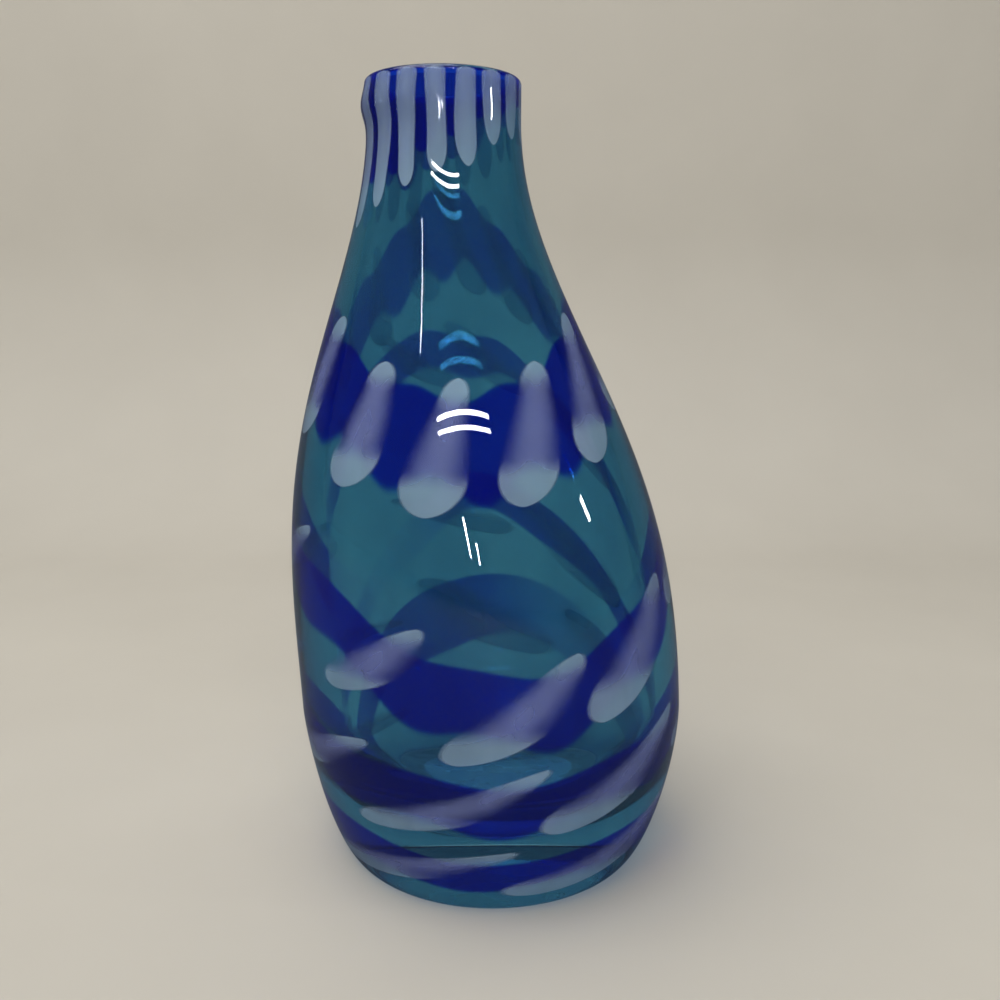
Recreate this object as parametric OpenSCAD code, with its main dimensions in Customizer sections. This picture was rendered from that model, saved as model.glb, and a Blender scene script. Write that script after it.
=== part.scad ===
// Hand-blown vase with a flat foot, a leaning neck and four rings of fused canes.
// The thick clear gather holds the hollow. Its outer skin is made of separate bits of glass
// that meet edge to edge: four rings of lilac and cobalt canes that dip at the front,
// upright canes round the lip, and transparent aqua bands between the rings.
// Origin at the centre of the foot, +Z up, front towards -Y.

/* [Vessel] */
// Height from the resting face to the lip
height = 250; // [230:1:300]
// Widest diameter
belly_d = 128; // [106:1:154]
// Height of the widest place
belly_h = 51; // [42:1:62]
// Diameter of the flat foot
foot_d = 98; // [70:1:100]
// Roundness of the heel, from soft to square
heel_power = 1.45; // [1.2:0.05:2.4]
// Outer diameter of the neck
neck_d = 48; // [40:0.5:58]
// Length of the straight neck below the lip
neck_len = 12; // [8:1:30]
// Fullness of the shoulder
shoulder_power = 1.43; // [1.1:0.01:1.8]
// How far the neck stands to the left of the foot
neck_shift = 15; // [0:1:24]
// Outward roll of the lip on its left side
lip_roll = 1.6; // [0:0.1:3]

/* [Glass thickness] */
// Wall at the widest place, with its skin
belly_wall = 10; // [7:0.5:14]
// Wall at the neck, with its skin
neck_wall = 3.2; // [2.6:0.1:5]
// Glass below the hollow
floor_t = 18; // [12:1:26]
// How far the hollow sits to the right of the body's axis
hollow_shift = 2; // [0:0.5:3]
// Thickness of the canes and the bands of the skin
skin_t = 1.6; // [1:0.1:2]

/* [Lip band] */
// Height of the band of upright canes
lip_band_h = 28; // [22:1:40]
// How much the band hangs lower on its left side
lip_band_slope = 12; // [0:1:16]
// Number of pairs of lilac and cobalt canes round the lip
lip_pairs = 17; // [12:1:22]

/* [Cane rings] */
// Width of the top ring of canes at the front
ring_w = 28; // [20:1:32]
// Aqua glass between the lip band and the top ring, at the back
ring_gap = 3; // [3:1:12]
// How far the top ring's sides stand above its front
ring_rise = 29; // [0:1:34]
// How much further the top ring rises at the back
ring_peak = 33; // [0:1:38]
// Number of pairs of lilac and cobalt canes in the top ring
ring_pairs = 12; // [8:1:14]
// Lean of the canes in the top ring
cane_lean = 12; // [0:1:16]

/* [Hidden] */
// Facets round the body, and the widest column of a piece of the skin
around = 40;
step = 360 / around;
skin_step = 6;
// The skin starts on a ledge just above the foot and ends just below the lip
ledge_h = 4;
rim_gap = 1.2;
// Open angle where the two ends of a band of aqua glass face each other, at the back
seam_a = 0.3;
seam_at = 90;
// Each ring beside the top one: height at the front, rise, peak, width, canes and lean
place_share = [1, 0.483, 0.273, 0.105];
rise_share = [1, 1.5, 0.5, 0.2];
peak_share = [1, 1.5, 1.6, 1.15];
width_share = [1, 0.8, 0.6, 0.4];
pairs_share = [1, 0.75, 0.6, 0.42];
lean_share = [1, 1.9, 2.7, 3.3];
// Each ring's width at the back as a share of its front, and how flat its top is there
back_share = [1, 0.7, 1, 2.4];
flat_top = [1, 1.8, 1, 2];
// How far each ring's lowest place stands to the right of the front
ring_turn = [0, 8, 0, 0];
// Azimuth of one lilac cane in each ring
ring_start = [-93, -81, -98, -115];
// How sharply a ring dips at the front and rises at the back
dip_power = 6;
peak_power = 8;
// Azimuth of one lilac lip cane
lip_start = -92.5;
// Centre and half height of the rolled lip
roll_drop = 8;
roll_half = 5;
// The hollow's shape: its round bottom, its widest place above the belly's, and its lean
hollow_power = 2.1;
bowl_r = 6;
bowl_rise = 6;
shift_from = 26;
shift_to = height - 24;

rings = len(place_share);
neck_z = height - neck_len;
hollow_wide = belly_h + bowl_rise;
back_z = height - lip_band_h - ring_gap - ring_w / 2 * back_share[0];
front_z = back_z - ring_rise - ring_peak;

PAIRS = [for (share = pairs_share) round(ring_pairs * share)];
FIRST = [for (r = 0, k = 1; r < rings; k = k + PAIRS[r], r = r + 1) k];
canes = FIRST[rings - 1] + PAIRS[rings - 1] - 1;

function two(k) = k < 10 ? str("0", k) : str(k);
function mix(a, b, s) = a + (b - a) * s;

LILAC = [for (k = [1 : canes]) str("lilac_cane_", two(k))];
COBALT = [for (r = [1 : rings]) str("cobalt_canes_ring_", r)];
BANDS = [for (r = [1 : rings]) str("aqua_band_", r)];

// ---- shape of the body ----

// Radius of a closed bulb with a flat bottom, at height z
function bulb_r(z, bottom, bottom_r, wide, wide_r, power, top_r) =
    z < wide
    ? bottom_r + (wide_r - bottom_r)
        * pow(max(0, 1 - pow(min(1, (wide - z) / (wide - bottom)), power)), 1 / power)
    : top_r + (wide_r - top_r)
        * (1 + cos(180 * pow(min(1, (z - wide) / (neck_z - wide)), shoulder_power))) / 2;

// Sideways place of the body's centre
function axis_x(z) =
    -neck_shift * (1 - cos(180 * min(1, max(0, (z - shift_from) / (shift_to - shift_from))))) / 2;

// Rolled lip, strongest towards -X
function roll(z, a) =
    lip_roll * pow((1 - cos(a)) / 2, 2) * exp(-pow((z - height + roll_drop) / roll_half, 2));

function outer_r(z) =
    bulb_r(z, 0, foot_d / 2, belly_h, belly_d / 2, heel_power, neck_d / 2);

function hollow_r(z) =
    bulb_r(z, floor_t, bowl_r, hollow_wide, belly_d / 2 - belly_wall, hollow_power,
        neck_d / 2 - neck_wall);

// A point of the wall, a given depth inside the outer surface
function wall_at(a, z, depth) =
    let (r = outer_r(z) + roll(z, a) - depth)
    [axis_x(z) + r * cos(a), r * sin(a), z];

// A point of the hollow's surface
function hollow_at(a, z) =
    let (r = hollow_r(z) + roll(z, a), side = hollow_shift * (1 - z / height))
    [axis_x(z) + side + r * cos(a), r * sin(a), z];

// ---- the rings of canes: ring 0 is the top one, and v runs from 0 to 1 up a ring's width ----

function ring_half(ring, a) =
    ring_w / 2 * width_share[ring] * mix(1, back_share[ring], pow(sin((a + 90) / 2), 2));

function ring_mid(ring, a) =
    let (turned = (a + 90 - ring_turn[ring]) / 2)
    front_z * place_share[ring]
    + ring_rise * rise_share[ring] * (1 - pow(cos(turned), dip_power))
    + ring_peak * peak_share[ring] * (1 - pow(1 - pow(sin(turned), peak_power), flat_top[ring]));

function ring_z(ring, a, v) = ring_mid(ring, a) + (2 * v - 1) * ring_half(ring, a);
function lip_edge(a) = height - lip_band_h + lip_band_slope * cos(a);

// Azimuth of a place along a ring, counted in pairs of canes from its first lilac cane
function cane_a(ring, place, v) =
    ring_start[ring] - 360 / PAIRS[ring] * place + cane_lean * lean_share[ring] * (v - 0.5);

// ---- solids from grids of points ----

// Two triangles of one cell, where p, q, r, s run clockwise seen from outside
function cell(p, q, r, s) = [[p, q, r], [p, r, s]];

// A curved slab: columns run with falling azimuth, rows run upwards
module slab(front, back) {
    cols = len(front);
    rows = len(front[0]);
    n = cols * rows;
    points = [for (grid = [front, back]) for (column = grid) each column];
    faces = [
        for (i = [0 : cols - 2]) for (j = [0 : rows - 2])
            let (p = i * rows + j)
            each concat(
                cell(p, p + 1, p + rows + 1, p + rows),
                cell(n + p + rows, n + p + rows + 1, n + p + 1, n + p)
            ),
        for (j = [0 : rows - 2])
            let (p = (cols - 1) * rows + j)
            each concat(cell(j + 1, j, n + j, n + j + 1), cell(p, p + 1, n + p + 1, n + p)),
        for (i = [0 : cols - 2])
            let (p = i * rows, q = i * rows + rows - 1)
            each concat(cell(p, p + rows, n + p + rows, n + p), cell(q + rows, q, n + q, n + q + rows))
    ];
    polyhedron(points, faces, convexity = 6);
}

// A stack of closed rings, capped at its first and last ring
module ring_stack(rings) {
    m = len(rings[0]);
    last = (len(rings) - 1) * m;
    faces = concat(
        [[for (i = [0 : m - 1]) i]],
        [[for (i = [m - 1 : -1 : 0]) last + i]],
        [for (k = [0 : len(rings) - 2]) for (i = [0 : m - 1])
            let (p = k * m + i, q = k * m + (i + 1) % m)
            each cell(p, p + m, q + m, q)]
    );
    polyhedron([for (ring = rings) each ring], faces, convexity = 10);
}

// A band of the skin between two height laws, in whole columns
module skin_band(a_from, a_to, rows, low, high) {
    cols = ceil((a_from - a_to) / skin_step);
    function grid(depth) = [for (i = [0 : cols])
        let (a = mix(a_from, a_to, i / cols))
        [for (j = [0 : rows]) wall_at(a, mix(low(a), high(a), j / rows), depth)]];
    slab(grid(0), grid(skin_t));
}

// One cane of a ring, between two places along it
module ring_cane(ring, from, to) {
    cols = max(2, ceil((cane_a(ring, from, 0) - cane_a(ring, to, 0)) / skin_step));
    rows = 4;
    function at(i, j, depth) =
        let (v = j / rows, a = cane_a(ring, mix(from, to, i / cols), v))
        wall_at(a, ring_z(ring, a, v), depth);
    function grid(depth) = [for (i = [0 : cols]) [for (j = [0 : rows]) at(i, j, depth)]];
    slab(grid(0), grid(skin_t));
}

// ---- pieces ----

// The gather: foot, thick wall and hollow, in one piece
module clear_gather() {
    edge_r = (neck_wall - skin_t) / 2;
    heel_rows = 3;
    low_rows = 5;
    up_rows = 13;
    bowl_rows = 5;
    heel = [for (k = [0 : heel_rows]) ledge_h * pow(k / heel_rows, 2)];
    low = [for (k = [1 : low_rows]) mix(ledge_h, belly_h, pow(k / low_rows, 1.4))];
    up = [for (k = [1 : up_rows]) mix(belly_h, neck_z, k / up_rows)];
    top = height - edge_r;
    inside_up = [for (k = [up_rows - 1 : -1 : 0]) mix(hollow_wide, neck_z, k / (up_rows - 1))];
    bowl = [for (k = [1 : bowl_rows]) mix(hollow_wide, floor_t, sin(90 * k / bowl_rows))];
    function outside(z, depth) = [for (i = [0 : around - 1]) wall_at(i * step, z, depth)];
    function inside(z) = [for (i = [0 : around - 1]) hollow_at(i * step, z)];
    function lip(turn) = [for (i = [0 : around - 1])
        let (s = (1 - cos(turn)) / 2, rise = edge_r * sin(turn))
        mix(wall_at(i * step, top, skin_t), hollow_at(i * step, top), s) + [0, 0, rise]];
    color([0.80, 0.90, 0.92, 0.5])
        ring_stack(concat(
            [for (z = heel) outside(z, 0)],
            [for (z = concat([ledge_h], low, up)) outside(z, skin_t)],
            [for (turn = [0 : 45 : 180]) lip(turn)],
            [for (z = concat(inside_up, bowl)) inside(z)]
        ));
}

// Upright canes round the lip: lilac ones and cobalt ones take turns
module lip_canes(shift) {
    width = 180 / lip_pairs;
    for (k = [0 : lip_pairs - 1]) {
        a = lip_start - (2 * k + shift) * width;
        skin_band(a + width / 2, a - width / 2, 3,
            function (a) lip_edge(a), function (a) height - rim_gap);
    }
}

module lip_lilac_canes() {
    color([0.72, 0.72, 0.85]) lip_canes(0);
}

module lip_cobalt_canes() {
    color([0.05, 0.12, 0.62]) lip_canes(1);
}

// Aqua band above one ring of canes, nearly a whole turn
module aqua_band(ring) {
    color([0.25, 0.70, 0.74, 0.6])
        skin_band(seam_at - seam_a, seam_at - 360, 5,
            function (a) ring_z(ring, a, 1),
            function (a) ring == 0 ? lip_edge(a) : ring_z(ring - 1, a, 0));
}

// Aqua band from the ledge up to the lowest ring
module aqua_foot_band() {
    color([0.25, 0.70, 0.74, 0.6])
        skin_band(seam_at - seam_a, seam_at - 360, 5,
            function (a) ledge_h, function (a) ring_z(rings - 1, a, 0));
}

module lilac_cane(ring, k) {
    color([0.66, 0.64, 0.86]) ring_cane(ring, k - 0.25, k + 0.25);
}

module cobalt_canes(ring) {
    color([0.05, 0.12, 0.62])
        for (k = [0 : PAIRS[ring] - 1]) ring_cane(ring, k + 0.25, k + 0.75);
}

clear_gather();
lip_lilac_canes();
lip_cobalt_canes();
aqua_foot_band();
for (r = [0 : rings - 1]) aqua_band(r);
for (r = [0 : rings - 1]) cobalt_canes(r);
for (r = [0 : rings - 1]) for (k = [0 : PAIRS[r] - 1])
    lilac_cane(r, k);
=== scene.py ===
# Hand-blown glass vase: one clear body with coloured canes and aqua glass laid in its skin.
# Everything is in metres, in the frame of the CAD model; the layout repeats the CAD part's laws.
import math

import bpy
import numpy as np
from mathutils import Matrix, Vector


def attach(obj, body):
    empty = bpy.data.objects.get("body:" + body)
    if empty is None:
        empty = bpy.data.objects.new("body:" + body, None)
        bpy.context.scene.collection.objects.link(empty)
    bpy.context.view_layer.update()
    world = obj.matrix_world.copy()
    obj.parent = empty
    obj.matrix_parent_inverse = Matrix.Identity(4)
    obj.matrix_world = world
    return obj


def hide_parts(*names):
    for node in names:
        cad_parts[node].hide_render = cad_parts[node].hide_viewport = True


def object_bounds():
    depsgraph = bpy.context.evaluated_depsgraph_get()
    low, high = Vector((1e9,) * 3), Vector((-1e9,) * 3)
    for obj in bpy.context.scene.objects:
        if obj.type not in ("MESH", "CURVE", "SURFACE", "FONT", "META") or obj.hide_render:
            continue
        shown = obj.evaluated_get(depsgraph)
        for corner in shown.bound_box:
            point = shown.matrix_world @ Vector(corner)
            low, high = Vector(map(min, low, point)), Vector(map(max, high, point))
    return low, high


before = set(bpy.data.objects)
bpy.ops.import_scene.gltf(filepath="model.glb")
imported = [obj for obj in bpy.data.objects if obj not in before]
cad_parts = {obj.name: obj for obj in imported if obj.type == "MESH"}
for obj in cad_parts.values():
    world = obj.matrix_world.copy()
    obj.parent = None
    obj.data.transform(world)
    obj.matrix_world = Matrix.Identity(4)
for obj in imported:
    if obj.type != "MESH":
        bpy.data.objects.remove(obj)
CAD_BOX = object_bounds()

MM = 0.001
rng = np.random.default_rng(11)

# ---- driving dimensions, in mm; the height and the belly come from the CAD box ----
low, high = CAD_BOX
HEIGHT = (high.z - low.z) / MM
BELLY_R = (high.y - low.y) / MM / 2
BELLY_Z = 51.0
FOOT_R = 49.0
NECK_R = 24.0
NECK_LEN = 12.0
NECK_Z = HEIGHT - NECK_LEN
HEEL_POWER = 1.45
SHOULDER_POWER = 1.43
NECK_SHIFT = 15.0
SHIFT_FROM, SHIFT_TO = 26.0, HEIGHT - 24.0
ROLL, ROLL_DROP, ROLL_HALF = 1.6, 8.0, 5.0
BELLY_WALL, NECK_WALL, FLOOR_T = 10.0, 3.2, 18.0
BOWL_R, BOWL_RISE, HOLLOW_POWER, HOLLOW_SIDE = 6.0, 6.0, 2.1, 2.0

# ---- the lip band and the rings of canes, as in the CAD part; ring 0 is the top one ----
LIP_BAND, LIP_SLOPE, LIP_PAIRS, LIP_START = 28.0, 12.0, 17, -92.5
RING_W, RING_GAP, RING_RISE, RING_PEAK = 28.0, 3.0, 29.0, 33.0
DIP_POWER, PEAK_POWER = 6, 8
PLACE_SHARE = (1, 0.483, 0.273, 0.105)
RISE_SHARE = (1, 1.5, 0.5, 0.2)
PEAK_SHARE = (1, 1.5, 1.6, 1.15)
WIDTH_SHARE = (1, 0.8, 0.6, 0.4)
BACK_SHARE = (1, 0.7, 1, 2.4)
FLAT_TOP = (1, 1.8, 1, 2)
RING_TURN = (0, 8, 0, 0)
LEANS = (12.0, 22.8, 32.4, 39.6)
RING_START = (-93, -81, -98, -115)
PAIRS = (12, 9, 7, 5)
RINGS = len(PAIRS)
LEDGE = 4.0
BACK_Z = HEIGHT - LIP_BAND - RING_GAP - RING_W / 2 * BACK_SHARE[0]
FRONT_Z = BACK_Z - RING_RISE - RING_PEAK

# ---- depths below the outer surface, in mm ----
LIP_LILAC_DEPTH, LILAC_DEPTH = (0.3, 0.9), (0.35, 1.05)
LIP_COBALT_DEPTH, COBALT_DEPTH = (1.0, 1.35), (1.15, 1.45)
AQUA_DEPTH = (1.55, 1.80)

WAVE = 0.015            # size of the slow unevenness of the outside
FILM_GAP = 0.02         # between two aqua films that meet


# ---- shape of the wall ----
def bulb_r(z, bottom, bottom_r, wide, wide_r, power, top_r):
    z = np.asarray(z, float)
    fall = np.clip((wide - z) / (wide - bottom), 0, 1)
    lower = bottom_r + (wide_r - bottom_r) * np.maximum(0, 1 - fall ** power) ** (1 / power)
    rise = np.clip((z - wide) / (NECK_Z - wide), 0, 1) ** SHOULDER_POWER
    upper = top_r + (wide_r - top_r) * (1 + np.cos(math.pi * rise)) / 2
    return np.where(z < wide, lower, upper)


def axis_x(z):
    share = np.clip((np.asarray(z, float) - SHIFT_FROM) / (SHIFT_TO - SHIFT_FROM), 0, 1)
    return -NECK_SHIFT * (1 - np.cos(math.pi * share)) / 2


def roll(z, a):
    return ROLL * ((1 - np.cos(a)) / 2) ** 2 * np.exp(-((z - HEIGHT + ROLL_DROP) / ROLL_HALF) ** 2)


def wave(z, a):
    """Slow unevenness of hand-shaped glass, always inward, in mm."""
    one = np.sin(2 * a + z / 31 + 0.7) + np.sin(3 * a - z / 23 + 2.1) * 0.6
    two = np.sin(5 * a + z / 17) * 0.25 + np.sin(z / 11 + a) * 0.3
    fade = np.clip(z / 30, 0, 1) * np.clip((HEIGHT - z) / 12, 0, 1)
    return WAVE * (one + two + 2.15) * fade


def outer_r(z, a):
    return bulb_r(z, 0, FOOT_R, BELLY_Z, BELLY_R, HEEL_POWER, NECK_R) + roll(z, a) - wave(z, a)


def hollow_r(z, a):
    r = bulb_r(z, FLOOR_T, BOWL_R, BELLY_Z + BOWL_RISE, BELLY_R - BELLY_WALL, HOLLOW_POWER,
               NECK_R - NECK_WALL)
    return r + roll(z, a) - 0.6 * wave(z, a + 1.3)


def wall_at(a, z, depth):
    """A point at azimuth a and height z, a given depth inside the outer surface, in metres."""
    r = outer_r(z, a) - depth
    return np.stack([axis_x(z) + r * np.cos(a), r * np.sin(a), z + 0 * r], -1) * MM


def hollow_at(a, z):
    r = hollow_r(z, a)
    x = axis_x(z) + HOLLOW_SIDE * (1 - z / HEIGHT)
    return np.stack([x + r * np.cos(a), r * np.sin(a), z + 0 * r], -1) * MM


# ---- the rings: v runs from 0 to 1 up a ring's width ----
def ring_half(ring, a):
    back = np.abs(np.sin(a / 2 + math.pi / 4))
    return RING_W / 2 * WIDTH_SHARE[ring] * (1 + (BACK_SHARE[ring] - 1) * back ** 2)


def ring_mid(ring, a):
    turned = a / 2 + math.pi / 4 - math.radians(RING_TURN[ring]) / 2
    front, back = np.abs(np.cos(turned)), np.abs(np.sin(turned))
    return (FRONT_Z * PLACE_SHARE[ring] + RING_RISE * RISE_SHARE[ring] * (1 - front ** DIP_POWER)
            + RING_PEAK * PEAK_SHARE[ring] * (1 - (1 - back ** PEAK_POWER) ** FLAT_TOP[ring]))


def ring_z(ring, a, v):
    return ring_mid(ring, a) + (2 * v - 1) * ring_half(ring, a)


def lip_edge(a):
    return HEIGHT - LIP_BAND + LIP_SLOPE * np.cos(a)


# ---- mesh building ----
def new_object(name, verts, faces):
    mesh = bpy.data.meshes.new(name)
    mesh.from_pydata([tuple(p) for p in verts], [], faces)
    mesh.update()
    ob = bpy.data.objects.new(name, mesh)
    bpy.context.scene.collection.objects.link(ob)
    mesh.polygons.foreach_set("use_smooth", [True] * len(mesh.polygons))
    return ob


def point_value(ob, name, values):
    layer = ob.data.attributes.new(name, "FLOAT", "POINT")
    layer.data.foreach_set("value", np.asarray(values, np.float32))


def tongue_values(ob, values):
    """Stores how far along, how far across and how far from the edge each point is."""
    for name, column in zip(("along", "across", "inside"), values.T):
        point_value(ob, name, column)


def closed_film(front, back):
    """A closed ring of film between two grids of points; columns run all the way round."""
    cols, rows = front.shape[:2]
    n = cols * rows
    verts = np.concatenate([front.reshape(-1, 3), back.reshape(-1, 3)])
    faces = []
    for i in range(cols):
        p, q = i * rows, (i + 1) % cols * rows
        for j in range(rows - 1):
            faces.append((p + j, p + j + 1, q + j + 1, q + j))
            faces.append((n + p + j, n + q + j, n + q + j + 1, n + p + j + 1))
        faces.append((p, q, n + q, n + p))
        t = rows - 1
        faces.append((p + t, n + p + t, n + q + t, q + t))
    return verts, faces


def join_parts(parts):
    """Several (verts, faces) pairs as one."""
    verts, faces, base = [], [], 0
    for v, f in parts:
        verts.append(v)
        faces.extend(tuple(base + k for k in face) for face in f)
        base += len(v)
    return np.concatenate(verts), faces


CELL = ((0, 0), (0, 1), (1, 1), (1, 0))         # the corners of one square of a grid


def tongue(centre_a, mid_z, half_w, depth, across_n=18):
    """A lens-shaped tongue laid in the wall, pointed at both ends of its length.

    centre_a, mid_z and half_w are arrays along it. The third result holds, for each point, its
    place along, its place across, and how far it is from the edge as a share of the widest half.
    """
    along_n = len(mid_z) - 1
    s = np.linspace(0, 1, along_n + 1)[:, None]
    t = np.linspace(-1, 1, across_n + 1)[None, :]
    bulge = np.sqrt(np.maximum(0, 1 - t ** 4)) * np.sqrt(np.maximum(0, 1 - (2 * s - 1) ** 12))
    middle, half = (depth[0] + depth[1]) / 2, (depth[1] - depth[0]) / 2
    z = mid_z[:, None] + 0 * t
    a = centre_a[:, None] - t * (half_w / outer_r(mid_z, centre_a))[:, None]
    grids = [wall_at(a, z, middle - half * bulge), wall_at(a, z, middle + half * bulge)]
    verts, values = [], []
    inside = half_w[:, None] * (1 - np.abs(t)) / np.max(half_w)
    index = np.zeros((2, along_n + 1, across_n + 1), int)
    for i in range(along_n + 1):
        for j in range(across_n + 1):
            for side in (0, 1):
                if i in (0, along_n) and (j or side):
                    index[side, i, j] = index[0, i, 0]
                    continue
                if side and j in (0, across_n):
                    index[1, i, j] = index[0, i, j]
                    continue
                index[side, i, j] = len(verts)
                verts.append(grids[side][i, j])
                values.append((s[i, 0], t[0, j], inside[i, j]))
    faces = []
    for i in range(along_n):
        for j in range(across_n):
            for side in (0, 1):
                face = [int(index[side, i + p, j + q]) for p, q in CELL]
                face = [k for n, k in enumerate(face) if k != face[n - 1]]
                if len(set(face)) > 2:
                    faces.append(tuple(face if side == 0 else face[::-1]))
    return np.array(verts), faces, np.array(values)


# ---- materials ----
def material(name):
    mat = bpy.data.materials.new(name)
    mat.use_nodes = True
    nt = mat.node_tree
    nt.nodes.clear()
    out = nt.nodes.new("ShaderNodeOutputMaterial")
    return mat, nt, out


def math_node(nt, operation, a, b=None):
    n = nt.nodes.new("ShaderNodeMath")
    n.operation = operation
    for socket, value in zip(n.inputs, (a, b)):
        if value is None:
            continue
        if isinstance(value, (int, float)):
            socket.default_value = value
        else:
            nt.links.new(value, socket)
    return n.outputs[0]


def colour_mix_socket(n, name):
    return [s for s in n.inputs if s.name == name and s.type == "RGBA"][0]


def tint(nt, fac, a, b):
    """A colour mixed from a to b by fac, as an output."""
    n = nt.nodes.new("ShaderNodeMix")
    n.data_type = "RGBA"
    nt.links.new(fac, n.inputs[0])
    for name, value in (("A", a), ("B", b)):
        socket = colour_mix_socket(n, name)
        if isinstance(value, tuple):
            socket.default_value = (*value, 1)
        else:
            nt.links.new(value, socket)
    return [s for s in n.outputs if s.type == "RGBA"][0]


def noise(nt, scale, detail=2.0, stretch=(1, 1, 1), distortion=0.0):
    coord = nt.nodes.new("ShaderNodeTexCoord")
    mapping = nt.nodes.new("ShaderNodeMapping")
    mapping.inputs["Scale"].default_value = stretch
    tex = nt.nodes.new("ShaderNodeTexNoise")
    tex.inputs["Scale"].default_value = scale
    tex.inputs["Detail"].default_value = detail
    tex.inputs["Distortion"].default_value = distortion
    nt.links.new(coord.outputs["Object"], mapping.inputs["Vector"])
    nt.links.new(mapping.outputs["Vector"], tex.inputs["Vector"])
    return tex.outputs["Fac"]


def ramp(nt, value, from_min, from_max, to_min=0.0, to_max=1.0):
    n = nt.nodes.new("ShaderNodeMapRange")
    n.clamp = True
    n.interpolation_type = "SMOOTHSTEP"
    for name, v in (("From Min", from_min), ("From Max", from_max),
                    ("To Min", to_min), ("To Max", to_max)):
        n.inputs[name].default_value = v
    nt.links.new(value, n.inputs["Value"])
    return n.outputs["Result"]


def attribute(nt, name):
    n = nt.nodes.new("ShaderNodeAttribute")
    n.attribute_name = name
    return n.outputs["Fac"]


def glass_material(name, colour, edge_colour, roughness, rough_spread, lamp_colour, ripple):
    """Thick refracting glass. Light on its way to other surfaces passes it as lamp_colour."""
    mat, nt, out = material(name)
    p = nt.nodes.new("ShaderNodeBsdfPrincipled")
    facing = nt.nodes.new("ShaderNodeLayerWeight")
    facing.inputs["Blend"].default_value = 0.5
    thick = ramp(nt, facing.outputs["Facing"], 0.45, 1.0)
    nt.links.new(tint(nt, thick, colour, edge_colour), p.inputs["Base Color"])
    p.inputs["IOR"].default_value = 1.5
    p.inputs["Transmission Weight"].default_value = 1.0
    spots = ramp(nt, noise(nt, 55.0, 4.0), 0.35, 0.75, roughness, roughness + rough_spread)
    nt.links.new(spots, p.inputs["Roughness"])
    bump = nt.nodes.new("ShaderNodeBump")
    bump.inputs["Strength"].default_value = ripple
    bump.inputs["Distance"].default_value = 0.001
    nt.links.new(noise(nt, 16.0, 1.0, (1, 1, 0.35), 0.6), bump.inputs["Height"])
    nt.links.new(bump.outputs["Normal"], p.inputs["Normal"])
    see = nt.nodes.new("ShaderNodeBsdfTransparent")
    see.inputs["Color"].default_value = (*lamp_colour, 1)
    path = nt.nodes.new("ShaderNodeLightPath")
    mix = nt.nodes.new("ShaderNodeMixShader")
    nt.links.new(path.outputs["Is Shadow Ray"], mix.inputs[0])
    nt.links.new(p.outputs[0], mix.inputs[1])
    nt.links.new(see.outputs[0], mix.inputs[2])
    nt.links.new(mix.outputs[0], out.inputs["Surface"])
    return mat


def scatter_and_see(nt, out, passed, body, share):
    """What light passes through, mixed by share with a body that scatters on both sides."""
    see = nt.nodes.new("ShaderNodeBsdfTransparent")
    solid = nt.nodes.new("ShaderNodeBsdfDiffuse")
    soft = nt.nodes.new("ShaderNodeBsdfTranslucent")
    for node, colour in ((see, passed), (solid, body), (soft, body)):
        if isinstance(colour, tuple):
            node.inputs["Color"].default_value = (*colour, 1)
        else:
            nt.links.new(colour, node.inputs["Color"])
    both = nt.nodes.new("ShaderNodeMixShader")
    both.inputs[0].default_value = 0.5
    nt.links.new(solid.outputs[0], both.inputs[1])
    nt.links.new(soft.outputs[0], both.inputs[2])
    mix = nt.nodes.new("ShaderNodeMixShader")
    if isinstance(share, float):
        mix.inputs[0].default_value = share
    else:
        nt.links.new(share, mix.inputs[0])
    nt.links.new(see.outputs[0], mix.inputs[1])
    nt.links.new(both.outputs[0], mix.inputs[2])
    nt.links.new(mix.outputs[0], out.inputs["Surface"])


def film_material(name, pass_from, pass_to, body, share, streak, cover=None):
    """Coloured glass fused inside the body: it tints what is behind it and scatters a little."""
    mat, nt, out = material(name)
    passed = tint(nt, ramp(nt, noise(nt, *streak), 0.3, 0.7), pass_from, pass_to)
    if cover is not None:
        held = ramp(nt, attribute(nt, cover), 0.0, 1.0)
        passed = tint(nt, held, (1, 1, 1), passed)
        share = math_node(nt, "MULTIPLY", held, share)
    scatter_and_see(nt, out, passed, body, share)
    return mat


def milk_material(name, middle, end, middle_share, end_share):
    """Milky cane: soft-sided along its middle, paler with a crisp outline at its ends."""
    mat, nt, out = material(name)
    across = math_node(nt, "ABSOLUTE", attribute(nt, "across"))
    tip = ramp(nt, attribute(nt, "tip"), 0.0, 1.0)
    soft_side = ramp(nt, across, 0.10, 0.98, middle_share, 0.02)
    crisp = ramp(nt, attribute(nt, "inside"), 0.0, 0.16, 0.0, end_share)
    gap = math_node(nt, "SUBTRACT", crisp, soft_side)
    share = math_node(nt, "ADD", soft_side, math_node(nt, "MULTIPLY", gap, tip))
    cloudy = ramp(nt, noise(nt, 38.0, 2.0), 0.25, 0.75, 0.84, 1.0)
    share = math_node(nt, "MULTIPLY", share, cloudy)
    fine = ramp(nt, noise(nt, 70.0, 3.0, (1, 1, 0.3), 0.8), 0.3, 0.7)
    ends = tint(nt, fine, end, tuple(0.88 * c for c in end))
    middles = tint(nt, fine, middle, tuple(0.85 * c for c in middle))
    scatter_and_see(nt, out, (0.93, 0.95, 0.98), tint(nt, tip, middles, ends), share)
    return mat


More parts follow.
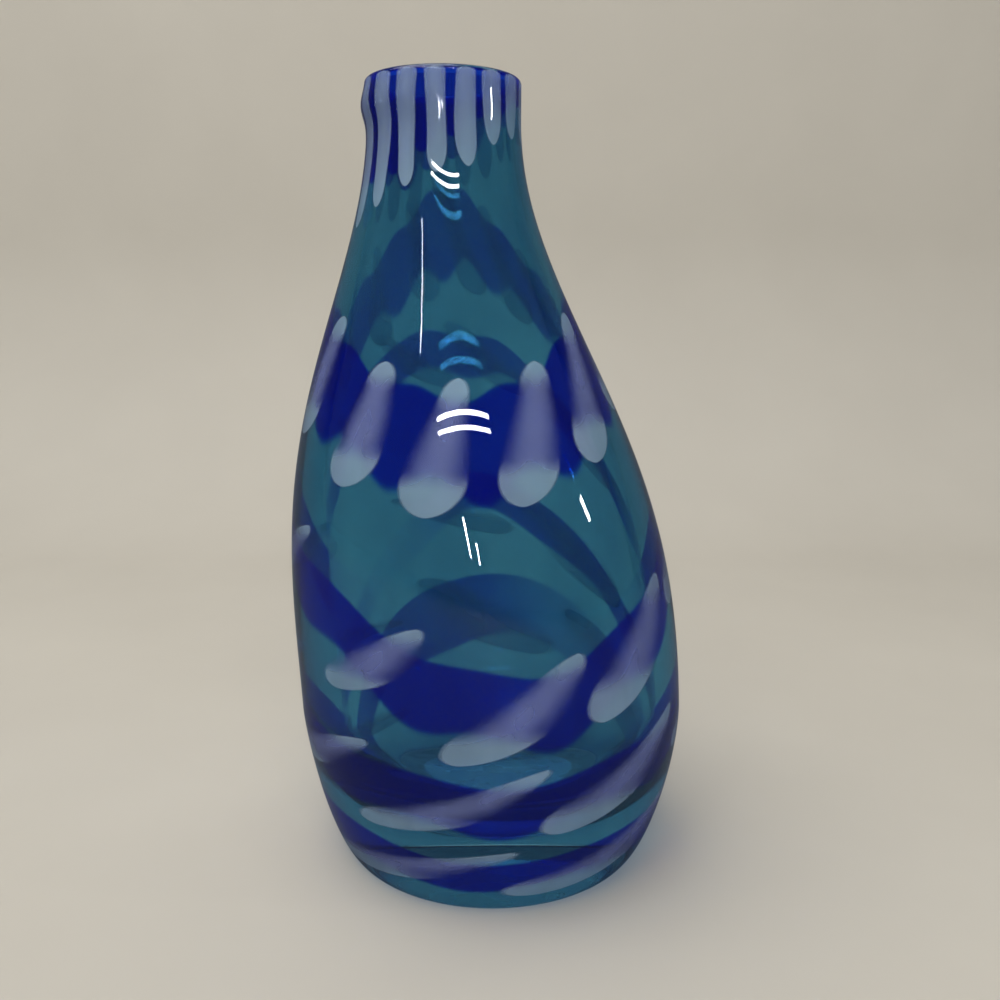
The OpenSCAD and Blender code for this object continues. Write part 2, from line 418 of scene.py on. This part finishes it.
CLEAR = glass_material("clear_glass", (0.985, 0.995, 1.0), (0.74, 0.80, 0.92), 0.0, 0.006,
                       (0.90, 0.94, 0.95), 0.03)
GROUND = glass_material("ground_foot", (0.95, 0.97, 0.98), (0.80, 0.86, 0.92), 0.22, 0.20,
                        (0.85, 0.90, 0.92), 0.30)
AQUA = film_material("aqua_glass", (0.39, 0.63, 0.75), (0.47, 0.71, 0.80), (0.16, 0.52, 0.60),
                     0.05, (26.0, 3.0, (1, 1, 0.25), 0.8))
COBALT = film_material("cobalt_glass", (0.04, 0.22, 0.86), (0.07, 0.31, 0.92),
                       (0.006, 0.04, 0.55), 0.10, (30.0, 3.0, (1, 1, 0.35), 0.9), "cover")
LILAC = milk_material("lilac_glass", (0.40, 0.46, 0.76), (0.56, 0.72, 0.83), 0.42, 0.43)


def place(ob, mat, node):
    """Gives a piece its material and puts it in the place of one CAD node."""
    ob.data.materials.append(mat)
    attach(ob, "root")
    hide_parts(node)


# ---- the clear body ----
AROUND = 160
TURN = np.arange(AROUND) * 2 * math.pi / AROUND
FOOT_EDGE = 2.2
PUNT_R, PUNT_DEPTH, PUNT_POWER = 34.0, 1.6, 1.5
PUNT_RINGS, FOOT_RINGS, HEEL_RINGS, SIDE_RINGS = 12, 7, 50, 150
DOWN_RINGS, BOWL_RINGS, LIP_STEP = 130, 40, 15
LIP_R = NECK_WALL / 2


def flat_ring(r, z):
    return np.stack([r * np.cos(TURN), r * np.sin(TURN), z + 0 * TURN], -1) * MM


def body_rings():
    """Rings of points from the middle of the foot, up the outside, over the lip, to the bottom."""
    rings = []
    for r in np.linspace(1.5, PUNT_R, PUNT_RINGS):
        rings.append(flat_ring(r, PUNT_DEPTH * (1 - (r / PUNT_R) ** 2) ** PUNT_POWER))
    rings += [flat_ring(r, 0) for r in np.linspace(PUNT_R, FOOT_R, FOOT_RINGS)[1:]]
    top = HEIGHT - LIP_R
    heel = BELLY_Z * np.linspace(0, 1, HEEL_RINGS)[1:] ** 2
    side = np.linspace(BELLY_Z, top, SIDE_RINGS)[1:]
    rings += [wall_at(TURN, z, 0) for z in np.concatenate([heel, side])]
    edge, inside = wall_at(TURN, top, 0), hollow_at(TURN, top)
    for turn in np.radians(np.arange(LIP_STEP, 180, LIP_STEP)):
        share = (1 - math.cos(turn)) / 2
        rise = np.array([0, 0, LIP_R * math.sin(turn) * MM])
        rings.append(edge + (inside - edge) * share + rise)
    widest = BELLY_Z + BOWL_RISE
    down = np.linspace(top, widest, DOWN_RINGS)
    bowl = np.cos(np.linspace(0, math.pi / 2, BOWL_RINGS)[1:])
    bowl = FLOOR_T + (widest - FLOOR_T) * bowl
    rings += [hollow_at(TURN, z) for z in np.concatenate([down, bowl])]
    return rings


def vase_glass():
    rings = body_rings()
    faces = []
    for k in range(len(rings) - 1):
        for i in range(AROUND):
            p, q = k * AROUND + i, k * AROUND + (i + 1) % AROUND
            faces.append((p, q, q + AROUND, p + AROUND))
    last = (len(rings) - 1) * AROUND
    foot_middle = last + AROUND
    verts = np.concatenate(rings + [[rings[0].mean(0), rings[-1].mean(0)]])
    for i in range(AROUND):
        j = (i + 1) % AROUND
        faces.append((foot_middle, j, i))
        faces.append((foot_middle + 1, last + i, last + j))
    ob = new_object("vase_glass", verts, faces)
    place(ob, CLEAR, "clear_gather")
    ob.data.materials.append(GROUND)
    for face in ob.data.polygons:
        if all(ob.data.vertices[v].co.z < PUNT_DEPTH * MM * 1.01 for v in face.vertices):
            r = face.center.xy.length / MM
            face.material_index = int(r < FOOT_R - FOOT_EDGE)


vase_glass()


# ---- aqua films, which meet one another under the rings ----
COLUMNS = 144
FOOT_FILM, TOP_FILM = 0.8, HEIGHT - LIP_R - 1.0
ROUND = np.arange(COLUMNS)[:, None] * -2 * math.pi / COLUMNS - math.pi / 2


def aqua_film(name, node_name, low_z, high_z, rows):
    v = np.linspace(0, 1, rows + 1)[None, :]
    a = ROUND + 0 * v
    z = low_z + (high_z - low_z) * v
    verts, faces = closed_film(wall_at(a, z, AQUA_DEPTH[0]), wall_at(a, z, AQUA_DEPTH[1]))
    place(new_object(name, verts, faces), AQUA, node_name)


for r in range(RINGS):
    above = ring_mid(r - 1, ROUND) - FILM_GAP if r else TOP_FILM + 0 * ROUND
    aqua_film(f"aqua_film_{r + 1}", f"aqua_band_{r + 1}", ring_mid(r, ROUND) + FILM_GAP, above, 36)
aqua_film("aqua_foot_film", "aqua_foot_band", FOOT_FILM + 0 * ROUND,
          ring_mid(RINGS - 1, ROUND) - FILM_GAP, 12)


# ---- cobalt rings ----
COBALT_ROWS = 22
# Height over which each ring's colour fades at its lower and upper edge, in mm
FADE_LOW, FADE_TOP = (4.2, 3.2, 2.6, 1.8), (1.8, 1.6, 1.5, 1.2)
# Rings whose colour is thin on one stretch: from and to, in degrees, and how much
THIN = {2: (186, 262, 0.85), 3: (70, 182, 0.75)}
# Edges as shares of the ring's width: their place, and how deep they dip at each lilac cane
LOW_EDGE, LOW_SCALLOP, TOP_EDGE, TOP_SCALLOP = -0.13, 0.15, 1.09, 0.06
EDGE_LEAN, EDGE_STRAY = 0.45, 0.03


def cobalt_ring(ring):
    v = np.linspace(0, 1, COBALT_ROWS + 1)[None, :]
    start, lean = math.radians(RING_START[ring]), math.radians(LEANS[ring])
    low_phase = (start - EDGE_LEAN * lean - ROUND) * PAIRS[ring]
    top_phase = (start + EDGE_LEAN * lean - ROUND) * PAIRS[ring]
    low = LOW_EDGE + LOW_SCALLOP * (1 + np.cos(low_phase)) + EDGE_STRAY * np.sin(2 * ROUND + ring)
    top = TOP_EDGE - TOP_SCALLOP * (1 + np.cos(top_phase)) + EDGE_STRAY * np.sin(3 * ROUND + 2.2)
    vv = low + (top - low) * v
    a = ROUND + 0 * vv
    z = ring_z(ring, a, vv)
    verts, faces = closed_film(wall_at(a, z, COBALT_DEPTH[0]), wall_at(a, z, COBALT_DEPTH[1]))
    ob = new_object(f"cobalt_ring_{ring + 1}", verts, faces)
    place(ob, COBALT, f"cobalt_canes_ring_{ring + 1}")
    tall = (top - low) * 2 * ring_half(ring, a)
    cover = np.clip(v * tall / FADE_LOW[ring], 0, 1)
    cover = cover * np.clip((1 - v) * tall / FADE_TOP[ring], 0, 1)
    if ring in THIN:
        start_at, end_at, less = THIN[ring]
        turn = (np.degrees(a) + 90) % 360
        share = np.clip((turn - start_at) / (end_at - start_at), 0, 1)
        cover = cover * (1 - less * np.sin(math.pi * share) ** 0.5)
    point_value(ob, "cover", np.concatenate([cover.ravel(), cover.ravel()]))


for r in range(RINGS):
    cobalt_ring(r)


# ---- lilac canes ----
ALONG = 40
EVEN = (1 - np.cos(np.linspace(0, math.pi, ALONG + 1))) / 2
# How far a cane runs past its ring, in mm, below and above; less on a narrow ring
PAST_LOW, PAST_TOP, PAST_LEAST = (4.6, 6.2), (3.4, 6.0), 0.5
# Half widths as shares of the pitch of the canes: at the top, at the waist and at the low end
TOP_HALF, WAIST_HALF, LOW_HALF = (0.17, 0.22), (0.30, 0.34), (0.38, 0.43)
WIDTH_AT = (0, 0.20, 0.55, 0.85, 1)
NECKED = 0.95
WIDE_SHARE = (1, 0.88, 0.84, 0.86)
SMOOTH = 4
# Lengths of the round caps, as shares of the whole length
CAP_LOW, CAP_TOP = 0.42, 0.3
# Where the pale ends begin, as shares of the ring's width, and how softly, in mm
LOW_TIP, TOP_TIP, TIP_SOFT = 0.17, 0.95, 6.0
# How unevenly the canes are laid
STRAY, LEAN_RANGE, BOW = 0.05, (0.85, 1.15), 0.02
FOLLOW = 0.45           # how much a leaning cane follows the slope of its ring
CLEAR_OF_LEDGE = 0.5


def capped(s, half_w, length, low_cap, top_cap):
    """Half width along a tongue with round ends: each cap is a share of its own width."""
    low = np.clip(s * length / (half_w * low_cap), 0, 1)
    top = np.clip((1 - s) * length / (half_w * top_cap), 0, 1)
    return half_w * np.sqrt(1 - (1 - low) ** 2) * np.sqrt(1 - (1 - top) ** 2)


def cane_half_width(pitch, length):
    """Half width along a cane: a narrow top, a waist and a wide low end with round caps."""
    top_w, waist, low_w = (rng.uniform(*span) for span in (TOP_HALF, WAIST_HALF, LOW_HALF))
    share = np.interp(EVEN, WIDTH_AT, (low_w, low_w * NECKED, waist, top_w * NECKED, top_w))
    kernel = np.ones(2 * SMOOTH + 1) / (2 * SMOOTH + 1)
    half_w = pitch * np.convolve(np.pad(share, SMOOTH, "edge"), kernel, "valid")
    cap_low = min(1.0, CAP_LOW * length / half_w[0])
    cap_top = min(1.0, CAP_TOP * length / half_w[-1])
    return capped(EVEN, half_w, length, cap_low, cap_top)


def lilac_cane(ring, k, number):
    step = 2 * math.pi / PAIRS[ring]
    centre = math.radians(RING_START[ring]) - step * k + rng.uniform(-STRAY, STRAY) * step
    tall = 2 * float(ring_half(ring, centre))
    pitch = step * float(outer_r(ring_mid(ring, centre), centre)) * WIDE_SHARE[ring]
    least = PAST_LEAST + (1 - PAST_LEAST) * WIDTH_SHARE[ring]
    low_past = rng.uniform(*PAST_LOW) * least
    top_past = rng.uniform(*PAST_TOP) * least
    length = tall + low_past + top_past
    v = (-low_past + length * EVEN) / tall
    half_w = cane_half_width(pitch, length)
    lean = math.radians(LEANS[ring]) * rng.uniform(*LEAN_RANGE)
    a = centre + lean * (v - 0.5) + BOW * rng.uniform(-1, 1) * np.sin(math.pi * EVEN)
    z = FOLLOW * ring_z(ring, a, v) + (1 - FOLLOW) * ring_z(ring, centre, v)
    z = np.maximum(z, LEDGE + CLEAR_OF_LEDGE)
    verts, faces, values = tongue(a, z, half_w, LILAC_DEPTH)
    ob = new_object(f"lilac_cane_glass_{number:02d}", verts, faces)
    place(ob, LILAC, f"lilac_cane_{number:02d}")
    tongue_values(ob, values)
    up = np.interp(values[:, 0], np.linspace(0, 1, ALONG + 1), v)
    past = np.maximum(LOW_TIP - up, up - TOP_TIP) * tall / TIP_SOFT
    point_value(ob, "tip", np.clip(past + 0.5, 0, 1))


number = 0
for r in range(RINGS):
    for k in range(PAIRS[r]):
        number += 1
        lilac_cane(r, k, number)


# ---- canes round the lip ----
LIP_TOP = HEIGHT - 0.9
LIP_UNEVEN = 3.0                # how far the low ends stray, in mm
LIP_SPREAD = (0.88, 1.1)        # and the widths, as shares
LIP_CAPS = (2.2, 0.25)
LIP_WAIST, LIP_SWAY = 0.12, 0.05
LIP_ACROSS = 10
LILAC_WIDTH, COBALT_WIDTH = 0.74, 1.60
LILAC_HANG, COBALT_HANG = 4.0, -7.0
COVER_RISE = 4.5
LIP_MILK, LIP_THINS = 0.95, 0.35


def lip_tongues(shift, name, node_name, mat, depth, width_share, hang):
    """Every second cane round the lip: each hangs below the band's edge by hang, in mm."""
    parts, values = [], []
    step = math.pi / LIP_PAIRS
    for k in range(LIP_PAIRS):
        a = math.radians(LIP_START) - (2 * k + shift) * step
        low = float(lip_edge(a)) - hang + rng.uniform(-LIP_UNEVEN, LIP_UNEVEN)
        z = low + (LIP_TOP - low) * EVEN
        half = step * NECK_R * width_share * rng.uniform(*LIP_SPREAD)
        half = half * (1 - LIP_WAIST * np.sin(3 * EVEN + k))
        half = capped(EVEN, half, LIP_TOP - low, *LIP_CAPS)
        sway = LIP_SWAY * step * np.sin(5 * EVEN + k * 2.1)
        verts, faces, told = tongue(a + sway, z, half, depth, LIP_ACROSS)
        parts.append((verts, faces))
        values.append(told)
    ob = new_object(name, *join_parts(parts))
    place(ob, mat, node_name)
    values = np.concatenate(values)
    tongue_values(ob, values)
    point_value(ob, "cover", np.clip(values[:, 2] * COVER_RISE, 0, 1))
    point_value(ob, "tip", np.clip(LIP_MILK - values[:, 0] * LIP_THINS, 0, 1))


lip_tongues(0, "lip_lilac_glass", "lip_lilac_canes", LILAC,
            LIP_LILAC_DEPTH, LILAC_WIDTH, LILAC_HANG)
lip_tongues(1, "lip_cobalt_glass", "lip_cobalt_canes", COBALT,
            LIP_COBALT_DEPTH, COBALT_WIDTH, COBALT_HANG)


# ---- camera, floor and light ----
# The curved floor, in metres: how far forward, back, up and to each side, and its bend
SWEEP_FRONT, SWEEP_BACK, SWEEP_TALL, SWEEP_WIDE, SWEEP_BEND = -2.4, 0.62, 1.6, 2.4, 0.25
FLOOR_DARK, FLOOR_LIGHT = (0.58, 0.545, 0.475), (0.64, 0.605, 0.53)
# Painted shade: the floor's colour where it is mirrored in the vase
FLOOR_PAINTED_SHADE_MIRRORED = (0.12, 0.13, 0.15)
ROOM_DIM, ROOM_SEEN = (0.07, 0.075, 0.085), (0.375, 0.365, 0.34)


def stage_sweep():
    """A pale floor that curves up into a plain backdrop far behind the vase."""
    start = SWEEP_BACK - SWEEP_BEND
    outline = [(SWEEP_FRONT, 0.0), (start, 0.0)]
    outline += [(start + SWEEP_BEND * math.sin(t), SWEEP_BEND - SWEEP_BEND * math.cos(t))
                for t in np.linspace(0, math.pi / 2, 24)[1:]]
    outline.append((SWEEP_BACK, SWEEP_TALL))
    verts = [(x, y, z) for x in (-SWEEP_WIDE, SWEEP_WIDE) for y, z in outline]
    n = len(outline)
    faces = [(i, n + i, n + i + 1, i + 1) for i in range(n - 1)]
    ob = new_object("floor", verts, faces)
    mat, nt, out = material("pale_floor")
    p = nt.nodes.new("ShaderNodeBsdfPrincipled")
    pale = tint(nt, noise(nt, 9.0, 4.0), FLOOR_DARK, FLOOR_LIGHT)
    # Painted shade: mirrored in the vase the floor's colour is darkened to stand in for shade;
    # through the glass, which counts as glossy, it is not
    rays = nt.nodes.new("ShaderNodeLightPath")
    outside = math_node(nt, "SUBTRACT", 1.0, rays.outputs["Is Transmission Ray"])
    mirrored = math_node(nt, "MULTIPLY", rays.outputs["Is Glossy Ray"], outside)
    nt.links.new(tint(nt, mirrored, pale, FLOOR_PAINTED_SHADE_MIRRORED), p.inputs["Base Color"])
    p.inputs["Roughness"].default_value = 0.85
    nt.links.new(p.outputs[0], out.inputs["Surface"])
    ob.data.materials.append(mat)


MIDDLE = Vector((0, 0, HEIGHT * MM / 2))
WHITE, WARM = (1, 1, 1), (1.0, 0.985, 0.96)
# Azimuth right of the front and lift, in degrees; distance and size, in metres; power; turn; colour
LAMPS = {
    "tube_0": (3.0, 31.5, 1.6, (0.95, 0.022), 3.2, 6.0, WHITE),
    "tube_1": (3.0, 33.9, 1.6, (0.95, 0.022), 3.2, 6.0, WHITE),
    "strip_neck": (-29.0, 41.0, 1.5, (0.012, 0.20), 0.35, -6.0, WHITE),
    "strip_front": (-2.0, 10.0, 1.5, (0.011, 0.22), 2.0, 16.0, WHITE),
    "strip_front_b": (3.5, 7.0, 1.5, (0.009, 0.12), 0.9, 10.0, WHITE),
    "spot_right": (77.0, 14.0, 1.5, (0.05, 0.13), 1.1, 24.0, WHITE),
    "soft_top": (-60.0, 72.0, 1.5, (1.5, 1.5), 19.0, 0.0, WARM),
    "soft_back": (150.0, 50.0, 1.6, (1.2, 0.8), 4.5, 0.0, WHITE),
}


def lamp(name, azimuth, lift, far, size, power, turn, colour):
    """A rectangular lamp that faces the middle of the vase."""
    data = bpy.data.lights.new(name, "AREA")
    data.shape = "RECTANGLE"
    data.size, data.size_y = size
    data.energy, data.color = power, colour
    ob = bpy.data.objects.new(name, data)
    a, e = math.radians(azimuth), math.radians(lift)
    way = Vector((math.sin(a) * math.cos(e), -math.cos(a) * math.cos(e), math.sin(e)))
    ob.location = MIDDLE + far * way
    ob.rotation_euler = (-way).to_track_quat("-Z", "Y").to_euler()
    ob.rotation_euler.rotate_axis("Z", math.radians(turn))
    bpy.context.scene.collection.objects.link(ob)


stage_sweep()
for name, values in LAMPS.items():
    lamp(name, *values)

# The room is pale where it is seen straight or through the glass, and dim where it is mirrored
world = bpy.data.worlds.new("studio")
world.use_nodes = True
tree = world.node_tree
sky = tree.nodes["Background"]
rays = tree.nodes.new("ShaderNodeLightPath")
seen = math_node(tree, "MAXIMUM", rays.outputs["Is Camera Ray"], rays.outputs["Is Transmission Ray"])
tree.links.new(tint(tree, seen, ROOM_DIM, ROOM_SEEN), sky.inputs["Color"])
sky.inputs["Strength"].default_value = 1.0
scene = bpy.context.scene
scene.world = world
scene.view_settings.view_transform = "Standard"
scene.cycles.max_bounces = 24
scene.cycles.transmission_bounces = 20
scene.cycles.transparent_max_bounces = 64

CAMERA_AT, CAMERA_DOWN = (0.0024, -0.327, 0.182), 11
camera_data = bpy.data.cameras.new("camera")
camera_data.lens, camera_data.sensor_width = 36.0, 36.0
camera_data.dof.use_dof = False
camera = bpy.data.objects.new("camera", camera_data)
camera.location = CAMERA_AT
camera.rotation_euler = (math.radians(90 - CAMERA_DOWN), 0, 0)
scene.collection.objects.link(camera)
scene.camera = camera
